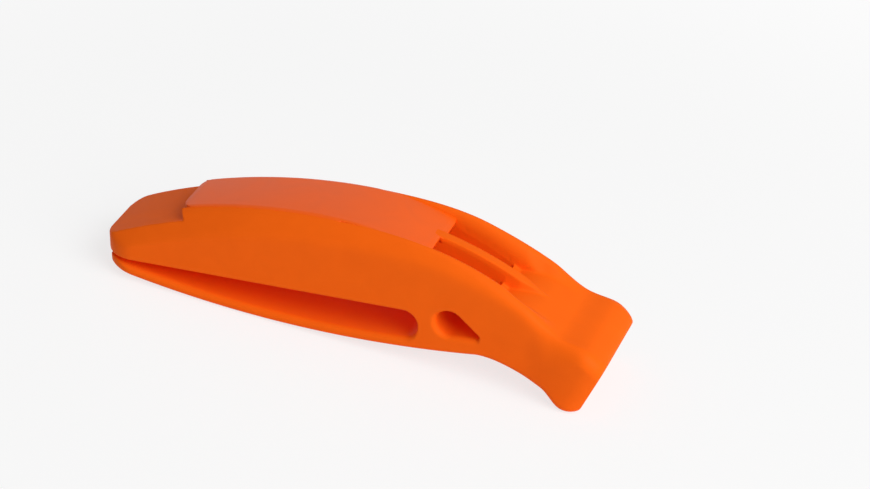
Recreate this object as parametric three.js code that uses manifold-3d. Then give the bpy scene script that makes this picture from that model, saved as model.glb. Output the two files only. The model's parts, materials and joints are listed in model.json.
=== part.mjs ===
// Pealess two-tone signal whistle with a spring strap clip along its belly.
// Three mouldings: the body, a cover plate that closes the two sound chambers, and the clip leaf.
// X runs towards the mouth from the crest of the arched top, Y across, Z up from the strap gap's roof.
// Everything is in millimetres.
import * as THREE from 'three';
import { mergeVertices } from 'three/addons/utils/BufferGeometryUtils.js';
import Module from 'manifold-3d';

const wasm = await Module();
wasm.setup();

// Body: the arched top, the flat sides and the shoulders between them
const bodyWidth = 14;
const crestHeight = 10.6;
const frontArchRadius = 54;
const shoulderDrop = 3.5;
const shoulderSlope = 36;
const bellyEdgeRadius = 0.7;
const tailReach = 31.5;
const tailThickness = 2.4;
const tailCornerRadius = 4.5;
const raisedCornerRadius = 3.5;

// Rails: the body's two top edges, which rise over the arch beside the windows
const railRise = 0.55;
const railStart = 4;
const railFull = 16;
const railFade = 29;
const railLand = 0.2;
const railSpreadEnd = 18;

// Mouthpiece: a waisted neck that slopes down to a flared lip
const neckSlope = 33;
const neckLength = 11.2;
const neckStart = 21.7;
const neckWidth = 13.6;
const neckTopWidth = 13.4;
const neckEdgeDrop = 3.6;
const neckUnderSlope = 8;
const lipWidth = 15.8;
const lipThickness = 6.2;
const lipLean = 25.7;
const lipFlare = 1.15;
const lipFlareRun = 4.5;
const lipSplayRun = 9.1;
const lipBead = 2.9;
const lipRound = 0.6;
const lipEdgeRadius = 1.1;

// Belly: the line that the clip leaf and the body's underside share
const bellyDepth = 5.95;
const bellyLowPoint = 5;

// Strap clip: a leaf of even thickness that springs from the front of the strap gap
const clipThickness = 1.5;
const clipRootReach = 11.6;
const clipTipSetback = 1;
const clipTipGap = 0.3;
const clipKnuckleGap = 0.3;

// Lanyard hole: a round end that tapers to a small round point
const lanyardRoundX = 18.1;
const lanyardRoundZ = -0.9;
const lanyardRoundRadius = 1.95;
const lanyardPointX = 21.8;
const lanyardPointZ = -2.2;
const lanyardPointRadius = 0.42;

// Cover plate: distances run along the arched top from its crest
const coverThickness = 1.2;
const coverGap = 0.3;
const coverTail = 20.8;
const coverTailWidth = 8.4;
const coverCornerRadius = 2;
const coverDipStart = 3;
const labiumNear = 15;
const labiumFar = 15.5;
const labiumDrop = 0.45;
const labiumCornerRadius = 1.8;

// Sound chambers and windways, one of each on either side of the centre rib
const windowSpan = 11.5;
const windowBack = 9.6;
const windowHalfBack = 4.7;
const windowHalfFront = 3.2;
const windowShoulder = 1.4;
const ribWidth = 1.7;
const ribDrop = 0.35;
const ribPoint = 30.6;
const coverLedge = 0.9;
const chamberFloor = 1.3;
const chamberFloorEnd = 12;
const chamberBackNear = 19.2;
const chamberBackFar = 15.4;
const flueExit = 25.1;
const flueRoof = 0.9;
const flueHeight = 1.1;
const mouthHoleDepth = 2;
const mouthHoleHeight = 2.6;
const valleyDepth = 1.1;

// Facets: how finely the curves are cut
const bodyStep = 2;
const neckSteps = 7;
const lipSteps = 5;
const beadSteps = 5;
const archStep = 1.5;
const cornerSteps = 3;
const shoulderSteps = 4;
const roundSteps = 16;
const troughSteps = 5;

const radians = THREE.MathUtils.degToRad;
const halfBody = bodyWidth / 2;
const halfRib = ribWidth / 2;
const recessDepth = coverThickness + coverGap;
const flueTop = valleyDepth + flueRoof;
const flueFloor = flueTop + flueHeight;
const clear = bodyWidth;

// The rear arch falls from the crest to the tail's top, which lies a recess depth under the arch.
const rearDrop = crestHeight - recessDepth - tailThickness;
const rearArchRadius = (tailReach ** 2 + rearDrop ** 2) / (2 * rearDrop);
const neckTurn = radians(neckSlope);
const neckTop = frontArchRadius * neckTurn;
const mouthEnd = neckTop + neckLength;
const lipCrest = mouthEnd - lipBead;
const lipStart = lipCrest - lipFlareRun;
const coverFront = Math.max(labiumNear, labiumFar);
const ribStart = coverFront + coverGap;

// A point of the arched top, a distance along it from the crest and a depth under it.
function archPoint(along, depth = 0) {
  const radius = along < 0 ? rearArchRadius : frontArchRadius;
  const angle = Math.min(along / radius, neckTurn);
  const past = Math.max(along - neckTop, 0);
  const reach = radius - depth;
  return new THREE.Vector2(
    reach * Math.sin(angle) + past * Math.cos(angle),
    crestHeight - radius + reach * Math.cos(angle) - past * Math.sin(angle),
  );
}

// The distance along the arched top at which it reaches a given X.
function alongAt(x) {
  const radius = x < 0 ? rearArchRadius : frontArchRadius;
  return radius * Math.asin(x / radius);
}

// The belly is one arc on which the clip leaf's tip comes up to just under the strap gap's roof.
const clipTipReach = tailReach - clipTipSetback;
const bellyRise = bellyDepth - clipThickness - clipTipGap;
const bellySpan = clipTipReach + bellyLowPoint;
const bellyRadius = (bellySpan ** 2 + bellyRise ** 2) / (2 * bellyRise);

function bellyAt(x) {
  return bellyRadius - bellyDepth - Math.sqrt(bellyRadius ** 2 - (x - bellyLowPoint) ** 2);
}

function evenly(from, to, step) {
  const count = Math.max(1, Math.round(Math.abs(to - from) / step));
  return Array.from({ length: count + 1 }, (_, i) => THREE.MathUtils.lerp(from, to, i / count));
}

function archLine(from, to, depth) {
  return evenly(from, to, archStep).map((along) => archPoint(along, depth));
}

// Solids: manifold-3d joins and cuts closed three.js geometries.
function solidOf(geometry) {
  const bare = geometry.clone();
  bare.deleteAttribute('normal');
  bare.deleteAttribute('uv');
  const merged = mergeVertices(bare, 1e-5);
  const mesh = new wasm.Mesh({
    numProp: 3,
    vertProperties: new Float32Array(merged.attributes.position.array),
    triVerts: new Uint32Array(merged.index.array),
  });
  return new wasm.Manifold(mesh);
}

function geometryOf(solid) {
  const mesh = solid.getMesh();
  const geometry = new THREE.BufferGeometry();
  geometry.setAttribute('position', new THREE.BufferAttribute(mesh.vertProperties, 3));
  geometry.setIndex(new THREE.BufferAttribute(mesh.triVerts, 1));
  geometry.computeVertexNormals();
  return geometry;
}

// Half the width between the two top edges, which spread apart from the cover's tail to the neck.
function halfTopAt(along) {
  const { clamp, lerp, smoothstep } = THREE.MathUtils;
  const cover = clamp((along + coverTail) / (railSpreadEnd + coverTail), 0, 1);
  const neck = smoothstep(along, flueExit, lipStart);
  return lerp(lerp(coverTailWidth, windowSpan, cover), neckTopWidth, neck) / 2;
}

// How far the rails rise over the arch.
function railRiseAt(along) {
  const { smoothstep } = THREE.MathUtils;
  return railRise * smoothstep(along, railStart, railFull) * (1 - smoothstep(along, railFade, lipStart));
}

// Half the width of the hollow between the rails at its foot, which narrows from the cover to the windways.
function halfFootAt(along) {
  const { clamp, lerp } = THREE.MathUtils;
  return lerp(windowHalfBack, windowHalfFront, clamp((along - coverFront) / (flueExit - coverFront), 0, 1));
}

// An outline in X and Z, extruded across Y from one side to the other.
function sidePrism(outline, fromY, toY) {
  const shape = outline instanceof THREE.Shape ? outline : new THREE.Shape(outline);
  const geometry = new THREE.ExtrudeGeometry(shape, {
    depth: toY - fromY,
    bevelEnabled: false,
    curveSegments: roundSteps,
  });
  geometry.rotateX(Math.PI / 2);
  geometry.translate(0, toY, 0);
  return solidOf(geometry);
}

// An outline in X and Y, extruded up past the whole body.
function planPrism(shape) {
  const geometry = new THREE.ExtrudeGeometry(shape, {
    depth: 2 * clear,
    bevelEnabled: false,
    curveSegments: roundSteps,
  });
  geometry.translate(0, 0, -clear);
  return solidOf(geometry);
}

// Half of one cross-section, from the top's edge down to the belly, as distances across and up.
function halfSection({ half, top, height, drop, corner }) {
  const points = [];
  const lean = Math.min((half - top) * Math.tan(radians(shoulderSlope)), drop);
  const shoulder = new THREE.QuadraticBezierCurve(
    new THREE.Vector2(top, height),
    new THREE.Vector2(half, height - lean),
    new THREE.Vector2(half, height - drop),
  );
  points.push(...shoulder.getPoints(shoulderSteps));
  for (let i = 0; i <= cornerSteps; i += 1) {
    const angle = (i / cornerSteps) * Math.PI / 2;
    points.push(new THREE.Vector2(
      half - corner + corner * Math.cos(angle),
      corner - corner * Math.sin(angle),
    ));
  }
  return points;
}

// One closed ring between a point on the belly line and a point on the top line.
function sectionRing(base, crown, sizes) {
  const up = crown.clone().sub(base);
  const half = halfSection({ ...sizes, height: up.length() });
  up.normalize();
  const place = (across, rise) => new THREE.Vector3(base.x + up.x * rise, across, base.y + up.y * rise);
  const far = half.map((p) => place(p.x, p.y));
  const near = half.map((p) => place(-p.x, p.y)).reverse();
  return [...far, ...near];
}

// A closed skin over a row of rings that all have the same number of points.
function loft(rings) {
  const size = rings[0].length;
  const index = [];
  for (let r = 0; r + 1 < rings.length; r += 1) {
    for (let i = 0; i < size; i += 1) {
      const a = r * size + i;
      const b = r * size + (i + 1) % size;
      index.push(a, a + size, b, b, a + size, b + size);
    }
  }
  const last = (rings.length - 1) * size;
  for (let i = 0; i < size / 2 - 1; i += 1) {
    const mirror = size - 1 - i;
    index.push(i, i + 1, mirror, i + 1, mirror - 1, mirror);
    index.push(last + i, last + mirror, last + i + 1, last + i + 1, last + mirror, last + mirror - 1);
  }
  const geometry = new THREE.BufferGeometry().setFromPoints(rings.flat());
  geometry.setIndex(index);
  return geometry;
}

// The neck's underside runs from the belly in a hollow curve to the foot of the lip.
const lipDown = new THREE.Vector2(-Math.sin(radians(lipLean)), -Math.cos(radians(lipLean)));
const lipFoot = archPoint(mouthEnd).addScaledVector(lipDown, lipThickness);
const neckFoot = new THREE.Vector2(neckStart, bellyAt(neckStart));
const neckPull = (lipFoot.x - neckFoot.x) / 3;
const neckUnderTurn = radians(neckUnderSlope);
const neckUnderside = new THREE.CubicBezierCurve(
  neckFoot,
  new THREE.Vector2(neckFoot.x + neckPull, neckFoot.y),
  new THREE.Vector2(
    lipFoot.x - neckPull * Math.cos(neckUnderTurn),
    lipFoot.y + neckPull * Math.sin(neckUnderTurn),
  ),
  lipFoot,
);

// The outer form of body and clip together: straight rings along the body, leaning ones along the neck.
function bodyRings() {
  const tailXs = Array.from({ length: roundSteps / 2 }, (_, i) => {
    const angle = (i / roundSteps) * Math.PI;
    return tailCornerRadius * (1 - Math.cos(angle)) - tailReach;
  });
  const xs = [...tailXs, ...evenly(tailCornerRadius - tailReach, neckStart, bodyStep)];
  return xs.map((x) => {
    const short = Math.max(tailCornerRadius - (x + tailReach), 0);
    const half = halfBody - tailCornerRadius + Math.sqrt(tailCornerRadius ** 2 - short ** 2);
    const along = alongAt(x);
    return sectionRing(new THREE.Vector2(x, bellyAt(x)), archPoint(along, -railRiseAt(along)), {
      half,
      top: Math.min(halfTopAt(along), half),
      drop: shoulderDrop,
      corner: bellyEdgeRadius,
    });
  });
}

// The lip swells out of the neck to a bead and is drawn in again at the mouth's end.
function neckRing(along) {
  const { clamp, smoothstep, lerp } = THREE.MathUtils;
  const start = alongAt(neckStart);
  const waist = smoothstep(along, start, lipStart);
  const flare = smoothstep(along, lipStart, lipCrest);
  const splay = smoothstep(along, lipCrest - lipSplayRun, lipCrest);
  const past = clamp((along - lipCrest) / lipBead, 0, 1);
  const drawn = lipRound * (1 - Math.sqrt(1 - past ** 2));
  const swell = lipFlare * flare - drawn;
  const part = (along - start) / (mouthEnd - start);
  const base = neckUnderside.getPoint(part).addScaledVector(lipDown, swell);
  const half = lerp(lerp(bodyWidth, neckWidth, waist), lipWidth, splay) / 2 - drawn;
  const edge = lerp(lerp(shoulderDrop, neckEdgeDrop, waist), lipEdgeRadius, flare);
  return sectionRing(base, archPoint(along, -swell - railRiseAt(along)), {
    half,
    top: lerp(Math.min(halfTopAt(along), half), half - lipEdgeRadius, flare),
    drop: edge,
    corner: lerp(bellyEdgeRadius, lipEdgeRadius, waist),
  });
}

function neckRings() {
  const start = alongAt(neckStart);
  const bead = Array.from({ length: beadSteps }, (_, i) => {
    const angle = ((i + 1) / beadSteps) * Math.PI / 2;
    return lipCrest + lipBead * Math.sin(angle);
  });
  const alongs = [
    ...evenly(start, lipStart, (lipStart - start) / neckSteps).slice(1),
    ...evenly(lipStart, lipCrest, lipFlareRun / lipSteps).slice(1),
    ...bead,
  ];
  return alongs.map((along) => neckRing(along));
}

const outerForm = solidOf(loft([...bodyRings(), ...neckRings()]));

// The clip leaf's root is a round knuckle in a round seat, where the leaf springs from the body.
const clipRootTop = bellyAt(clipRootReach) + clipThickness;
const knuckleZ = clipRootTop - clipThickness / 2;

function knuckle(radius) {
  const geometry = new THREE.CylinderGeometry(radius, radius, bodyWidth, roundSteps * 2);
  geometry.translate(clipRootReach, 0, knuckleZ);
  return solidOf(geometry);
}

// The strap gap has a flat roof and a round front end, and takes all that lies below it for the leaf.
function strapGap() {
  const endRadius = -clipRootTop / 2;
  const shape = new THREE.Shape();
  shape.moveTo(-tailReach - clear, 0);
  shape.lineTo(clipRootReach, 0);
  shape.absarc(clipRootReach, -endRadius, endRadius, Math.PI / 2, -Math.PI / 2, true);
  shape.lineTo(clipRootReach, -bellyDepth - clear);
  shape.lineTo(-tailReach - clear, -bellyDepth - clear);
  return sidePrism(shape, -clear, clear).add(knuckle(clipThickness / 2 + clipKnuckleGap));
}

function lanyardHole() {
  const round = new THREE.Vector2(lanyardRoundX, lanyardRoundZ);
  const point = new THREE.Vector2(lanyardPointX, lanyardPointZ);
  const way = point.clone().sub(round);
  const spread = Math.acos((lanyardRoundRadius - lanyardPointRadius) / way.length());
  const upper = way.angle() + spread;
  const lower = way.angle() - spread;
  const shape = new THREE.Shape();
  shape.absarc(round.x, round.y, lanyardRoundRadius, upper, lower + 2 * Math.PI, false);
  shape.absarc(point.x, point.y, lanyardPointRadius, lower, upper, false);
  return sidePrism(shape, -clear, clear);
}

// The seat of the cover plate
function coverSeat() {
  const seat = [...archLine(-coverTail, ribStart, recessDepth), ...archLine(ribStart, -coverTail, -clear)];
  const plan = planBetween(-coverTail, ribStart, (along) => halfTopAt(along) - railLand);
  return sidePrism(seat, -clear, clear).intersect(plan);
}

// What is cut off over the tail: the raised part in front of it ends in two round corners.
function tailStep() {
  const behind = -alongAt(tailReach) - clear;
  const front = raisedCornerRadius - coverTail;
  const cut = [...archLine(behind, front, recessDepth), ...archLine(front, behind, -clear)];
  const round = archPoint(-coverTail).x + raisedCornerRadius;
  const side = halfBody - raisedCornerRadius;
  const raised = new THREE.Shape();
  raised.moveTo(mouthEnd, halfBody);
  raised.absarc(round, side, raisedCornerRadius, Math.PI / 2, Math.PI, false);
  raised.absarc(round, -side, raisedCornerRadius, Math.PI, 1.5 * Math.PI, false);
  raised.lineTo(mouthEnd, -halfBody);
  return sidePrism(cut, -clear, clear).subtract(planPrism(raised));
}

// The centre rib: it parts the chambers and the windows, and runs out to a point between the windways.
function ribPlan() {
  const shape = new THREE.Shape();
  shape.moveTo(archPoint(windowBack).x, -halfRib);
  shape.lineTo(archPoint(flueExit).x, -halfRib);
  shape.lineTo(archPoint(ribPoint).x, 0);
  shape.lineTo(archPoint(flueExit).x, halfRib);
  shape.lineTo(archPoint(windowBack).x, halfRib);
  return planPrism(shape);
}

// What is cut off over the rib, which lies lower than the rails
function ribTop() {
  const end = ribPoint + railLand;
  const over = [...archLine(coverFront, end, ribDrop), ...archLine(end, coverFront, -clear)];
  return sidePrism(over, -ribWidth, ribWidth);
}

// A plan of a given half width along a stretch of the arched top and past its ends
function planBetween(from, to, halfAt) {
  const edge = evenly(from, to, archStep).map((along) => (
    new THREE.Vector2(archPoint(along).x, halfAt(along))
  ));
  edge.unshift(new THREE.Vector2(edge[0].x - clear, edge[0].y));
  edge.push(new THREE.Vector2(edge.at(-1).x + clear, edge.at(-1).y));
  const mirrored = edge.map((p) => new THREE.Vector2(p.x, -p.y)).reverse();
  return planPrism(new THREE.Shape([...edge, ...mirrored]));
}

// The hollow between the rails, which round over into it: at the windows they fall away, and further on
// they run out on its floor, which rises to the lip.
function trough() {
  const { clamp, lerp, smoothstep } = THREE.MathUtils;
  const rings = evenly(coverFront, lipStart + railLand, archStep).map((along) => {
    const back = (along - coverFront) / (flueExit - coverFront);
    const fade = (lipStart - along) / (lipStart - flueExit);
    const floor = along < flueExit
      ? lerp(windowShoulder, valleyDepth, back)
      : valleyDepth * fade;
    const rise = railRiseAt(along);
    const outer = halfTopAt(along) - railLand;
    const half = [new THREE.Vector2(outer, -clear)];
    for (let i = 0; i <= troughSteps; i += 1) {
      const share = i / troughSteps;
      const fall = lerp(share ** 2, smoothstep(share, 0, 1), clamp(back, 0, 1));
      half.push(new THREE.Vector2(lerp(outer, halfFootAt(along), share), lerp(-rise, floor, fall)));
    }
    const place = (across, depth) => {
      const point = archPoint(along, depth);
      return new THREE.Vector3(point.x, across, point.y);
    };
    return [
      ...half.map((p) => place(p.x, p.y)),
      ...half.map((p) => place(-p.x, p.y)).reverse(),
    ];
  });
  return solidOf(loft(rings)).subtract(ribPlan());
}

// The two windows between the cover's tongues and the windways' ends, down to the windways' floor
function windows() {
  const open = [
    ...archLine(windowBack, flueExit, flueFloor),
    ...archLine(flueExit, windowBack, -clear),
  ];
  const plan = planBetween(windowBack, flueExit, halfFootAt);
  return sidePrism(open, -clear, clear).intersect(plan).subtract(ribPlan());
}

// One sound chamber and its windway, on the side of the rib that the sign gives
function soundPath(side, chamberBack) {
  const between = (outline, inner, outer) => sidePrism(
    outline,
    Math.min(side * inner, side * outer),
    Math.max(side * inner, side * outer),
  );
  const chamber = [
    new THREE.Vector2(archPoint(-chamberBack).x, chamberFloor),
    new THREE.Vector2(chamberFloorEnd, chamberFloor),
    archPoint(flueExit, flueFloor),
    ...archLine(flueExit, -chamberBack, -clear),
  ];
  const past = mouthEnd + clear;
  const widen = (past - flueExit) / (mouthEnd - flueExit);
  const windway = [
    archPoint(flueExit - archStep, flueTop),
    archPoint(flueExit - archStep, flueFloor),
    archPoint(flueExit, flueFloor),
    archPoint(past, flueFloor + (mouthHoleDepth + mouthHoleHeight - flueFloor) * widen),
    archPoint(past, flueTop + (mouthHoleDepth - flueTop) * widen),
    archPoint(flueExit, flueTop),
  ];
  return between(chamber, halfRib, halfTopAt(-coverTail) - coverLedge)
    .add(between(windway, halfRib, windowHalfFront));
}

function bodySolid() {
  return outerForm
    .subtract(strapGap())
    .subtract(lanyardHole())
    .subtract(coverSeat())
    .subtract(tailStep())
    .subtract(trough())
    .subtract(ribTop())
    .subtract(windows())
    .subtract(soundPath(-1, chamberBackNear))
    .subtract(soundPath(1, chamberBackFar));
}

// The cover plate fills its seat and ends in two thin tongues that the air jets strike.
function coverSolid() {
  const tail = coverGap - coverTail;
  const dip = evenly(coverDipStart, coverFront, archStep).map((along) => archPoint(
    along,
    labiumDrop * ((along - coverDipStart) / (coverFront - coverDipStart)) ** 2,
  ));
  const plate = [
    ...archLine(tail, coverDipStart, 0),
    ...dip.slice(1),
    ...archLine(coverFront, tail, coverThickness),
  ];
  const halfAt = (along) => halfTopAt(along) - railLand - coverGap;
  const tailRound = archPoint(tail).x + coverCornerRadius;
  const tailSide = halfAt(tail) - coverCornerRadius;
  const nearEdge = archPoint(labiumNear).x;
  const farEdge = archPoint(labiumFar).x;
  const nearSide = halfAt(labiumNear) - labiumCornerRadius;
  const farSide = halfAt(labiumFar) - labiumCornerRadius;
  const shape = new THREE.Shape();
  shape.absarc(tailRound, tailSide, coverCornerRadius, Math.PI / 2, Math.PI, false);
  shape.absarc(tailRound, -tailSide, coverCornerRadius, Math.PI, 1.5 * Math.PI, false);
  shape.absarc(nearEdge - labiumCornerRadius, -nearSide, labiumCornerRadius, -Math.PI / 2, 0, false);
  shape.lineTo(nearEdge, -halfRib);
  shape.lineTo(farEdge, -halfRib);
  shape.absarc(farEdge - labiumCornerRadius, farSide, labiumCornerRadius, 0, Math.PI / 2, false);
  return sidePrism(plate, -clear, clear).intersect(planPrism(shape));
}

// The clip leaf follows the belly from its knuckle to its tip under the tail.
function clipSolid() {
  const xs = evenly(clipRootReach, -clipTipReach, bodyStep);
  const leaf = [
    ...xs.map((x) => new THREE.Vector2(x, bellyAt(x) + clipThickness)),
    new THREE.Vector2(-clipTipReach, -bellyDepth - clear),
    new THREE.Vector2(clipRootReach, -bellyDepth - clear),
  ];
  const root = outerForm.intersect(knuckle(clipThickness / 2));
  return outerForm.intersect(sidePrism(leaf, -clear, clear)).add(root);
}

const bodyPlastic = new THREE.MeshStandardMaterial({ color: 0xea5915, roughness: 0.42, metalness: 0 });
const coverPlastic = new THREE.MeshStandardMaterial({ color: 0xe8601f, roughness: 0.5, metalness: 0 });
const clipPlastic = new THREE.MeshStandardMaterial({ color: 0xeb6214, roughness: 0.42, metalness: 0 });

function piece(name, solid, material) {
  const mesh = new THREE.Mesh(geometryOf(solid), material);
  mesh.name = name;
  return mesh;
}

const whistle = new THREE.Group();
whistle.add(
  piece('body', bodySolid(), bodyPlastic),
  piece('sound_cover', coverSolid(), coverPlastic),
  piece('strap_clip', clipSolid(), clipPlastic),
);

// At rest the whistle stands on the foot of its lip and on the leaf's belly.
const lipLowest = (lipCrest - alongAt(neckStart)) / (mouthEnd - alongAt(neckStart));
const standFoot = neckUnderside.getPoint(lipLowest).addScaledVector(lipDown, lipFlare);
const toCentre = new THREE.Vector2(bellyLowPoint, bellyRadius - bellyDepth).sub(standFoot);
const standTilt = Math.atan2(toCentre.x, toCentre.y) + Math.acos(bellyRadius / toCentre.length());
whistle.rotation.y = -standTilt;
const standing = new THREE.Box3().setFromObject(whistle, true);
whistle.position.set(-(standing.min.x + standing.max.x) / 2, 0, -standing.min.z);
whistle.updateMatrixWorld(true);

export default whistle;
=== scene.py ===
"""A pealess signal whistle of orange moulded plastic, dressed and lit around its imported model.

The pieces are shaped in millimetres in the whistle's own frame: X runs to the mouth from the crest
of the arched top, Y across and Z up from the flat roof of the strap gap. A finished piece is then
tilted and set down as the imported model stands, in metres.
"""

import json
import logging
import math
from collections.abc import Callable, Sequence
from dataclasses import dataclass, field
from enum import Enum

import bmesh
import bpy
from mathutils import Matrix, Vector

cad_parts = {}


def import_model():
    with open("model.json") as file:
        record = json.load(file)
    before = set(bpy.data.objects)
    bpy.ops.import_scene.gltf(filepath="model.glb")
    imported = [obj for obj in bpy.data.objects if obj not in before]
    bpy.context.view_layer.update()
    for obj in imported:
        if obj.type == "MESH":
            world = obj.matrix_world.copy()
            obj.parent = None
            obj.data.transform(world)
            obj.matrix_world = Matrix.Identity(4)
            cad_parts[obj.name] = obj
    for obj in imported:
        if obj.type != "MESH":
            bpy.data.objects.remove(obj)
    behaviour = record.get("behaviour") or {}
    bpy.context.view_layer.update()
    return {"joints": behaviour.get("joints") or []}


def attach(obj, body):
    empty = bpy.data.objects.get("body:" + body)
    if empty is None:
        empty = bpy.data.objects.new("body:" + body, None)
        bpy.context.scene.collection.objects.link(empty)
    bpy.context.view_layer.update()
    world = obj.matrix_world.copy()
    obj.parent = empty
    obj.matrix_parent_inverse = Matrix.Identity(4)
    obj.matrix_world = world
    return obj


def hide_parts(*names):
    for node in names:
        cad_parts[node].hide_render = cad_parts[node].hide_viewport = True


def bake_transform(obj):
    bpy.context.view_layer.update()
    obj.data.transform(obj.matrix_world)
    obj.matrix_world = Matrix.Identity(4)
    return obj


log = logging.getLogger("whistle")

WHITE = (1.0, 1.0, 1.0, 1.0)
# A millimetre in metres
METRES = 0.001
# How far a cutter reaches out past the form that it cuts
CLEAR = 14.0
# The pull of a curve's middle point that makes its square corner a quarter circle
ROUND = math.sqrt(0.5)


class Side(Enum):
    """The two sides of the centre rib, as signs of Y."""

    NEAR = -1
    FAR = 1


def held(value: float) -> float:
    """The value held between 0 and 1."""
    return min(max(value, 0.0), 1.0)


def mix(start: float, end: float, share: float) -> float:
    """The value that lies a share of the way from start to end."""
    return start + (end - start) * share


def ease(value: float, low: float, high: float) -> float:
    """A soft step from 0 at low to 1 at high."""
    share = held((value - low) / (high - low))
    return share * share * (3.0 - 2.0 * share)


def spread(start: float, end: float, count: int) -> list[float]:
    """Evenly spaced values from start to end, both included."""
    return [mix(start, end, i / count) for i in range(count + 1)]


def steps(start: float, end: float, step: float) -> list[float]:
    """Values from start to end, about a step apart."""
    return spread(start, end, max(1, round(abs(end - start) / step)))


def quarter(count: int) -> list[float]:
    """The angles of a quarter turn in a number of steps."""
    return spread(0.0, math.pi / 2.0, count)


def arc(centre: Vector, radius: float, start: float, end: float, count: int) -> list[Vector]:
    """Points on an arc in the XZ plane, between two angles from +X towards +Z."""
    angles = spread(start, end, count)
    return [centre + radius * Vector((math.cos(a), 0.0, math.sin(a))) for a in angles]


def shifted(points: Sequence[Vector], across: float) -> list[Vector]:
    """The points moved sideways."""
    return [point + Vector((0.0, across, 0.0)) for point in points]


def mirrored(values: Sequence[float], end: float) -> list[float]:
    """Rising values up to an end, with their mirror images before them."""
    rising = [*values, end]
    return [-value for value in reversed(rising)] + rising


def loft(name: str, rings: Sequence[Sequence[Vector]]) -> bpy.types.Object:
    """A closed solid over a row of rings that all have the same number of points.

    Args:
        name: The new object's name.
        rings: The rings in order, each a closed line of points.

    Returns:
        The object, in millimetres and linked to the scene.
    """
    bm = bmesh.new()
    ring = [bm.verts.new(point) for point in rings[0]]
    edges = [bm.edges.new((a, b)) for a, b in zip(ring, ring[1:] + ring[:1])]
    bm.faces.new(ring)
    for points in rings[1:]:
        made = bmesh.ops.extrude_edge_only(bm, edges=edges)["geom"]
        fresh = {item for item in made if isinstance(item, bmesh.types.BMVert)}
        grown = [next(e.other_vert(v) for e in v.link_edges if e.other_vert(v) in fresh) for v in ring]
        for vert, point in zip(grown, points):
            vert.co = point
        edges = [bm.edges.get((a, b)) for a, b in zip(grown, grown[1:] + grown[:1])]
        ring = grown
    bm.faces.new(ring)
    bmesh.ops.recalc_face_normals(bm, faces=bm.faces[:])
    return as_object(name, bm)


def linked(name: str, data: bpy.types.ID) -> bpy.types.Object:
    """Puts a new object into the scene.

    Args:
        name: The object's name.
        data: Its mesh, light or camera.

    Returns:
        The object.
    """
    made = bpy.data.objects.new(name, data)
    bpy.context.scene.collection.objects.link(made)
    return made


def as_object(name: str, bm: bmesh.types.BMesh) -> bpy.types.Object:
    """Links a bmesh to the scene as an object of its own, and frees it.

    Args:
        name: The new object's name.
        bm: The bmesh.

    Returns:
        The object.
    """
    mesh = bpy.data.meshes.new(name)
    bm.to_mesh(mesh)
    bm.free()
    return linked(name, mesh)


def discard(*pieces: bpy.types.Object) -> None:
    """Removes working objects with their meshes.

    Args:
        pieces: The objects.
    """
    for piece in pieces:
        mesh = piece.data
        bpy.data.objects.remove(piece)
        bpy.data.meshes.remove(mesh)


def applied(piece: bpy.types.Object) -> bpy.types.Mesh:
    """A mesh of the piece with its modifiers applied."""
    graph = bpy.context.evaluated_depsgraph_get()
    return bpy.data.meshes.new_from_object(piece.evaluated_get(graph))


def add_node(tree: bpy.types.NodeTree, kind: str, values: dict[str, object] | None = None,
             **options: str) -> bpy.types.Node:
    """Adds a shader node.

    Args:
        tree: The node tree that it joins.
        kind: The node's type, without the prefix that all shader nodes share.
        values: The values of its sockets by their names.
        options: The node's own settings, which come before its sockets' values.

    Returns:
        The node.
    """
    made = tree.nodes.new(f"ShaderNode{kind}")
    for option, choice in options.items():
        setattr(made, option, choice)
    for socket, value in (values or {}).items():
        made.inputs[socket].default_value = value
    return made


def wire(tree: bpy.types.NodeTree, *links: tuple[bpy.types.Node, str, bpy.types.Node, str | int]) -> None:
    """Makes links, each from a node's output to the input of another node that it feeds."""
    for source, output, target, entry in links:
        tree.links.new(source.outputs[output], target.inputs[entry])


def seen(tree: bpy.types.NodeTree) -> bpy.types.Node:
    """Tells rays that see, straight, in a gloss or through glass, from rays that only gather light.

    Args:
        tree: The node tree that asks.

    Returns:
        The node whose value is 1 for rays that see and 0 for the others.
    """
    path = add_node(tree, "LightPath")
    glossy = add_node(tree, "Math", operation="MAXIMUM")
    through = add_node(tree, "Math", operation="MAXIMUM")
    wire(
        tree,
        (path, "Is Camera Ray", glossy, 0),
        (path, "Is Glossy Ray", glossy, 1),
        (glossy, "Value", through, 0),
        (path, "Is Transmission Ray", through, 1),
    )
    return through


@dataclass(frozen=True)
class Facets:
    """How finely curves are cut: whole numbers count steps, the others are steps in millimetres."""

    shoulder: int = 20
    belly_edge: int = 6
    top: int = 110
    tail_corner: int = 16
    raised_corner: int = 14
    tail_arch: int = 40
    bead: int = 18
    rim: int = 12
    gap_end: int = 24
    hole_round: int = 36
    hole_point: int = 10
    body: float = 0.6
    neck: float = 0.4
    leaf: float = 0.7
    chamber: float = 1.0
    channel: float = 0.5


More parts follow.
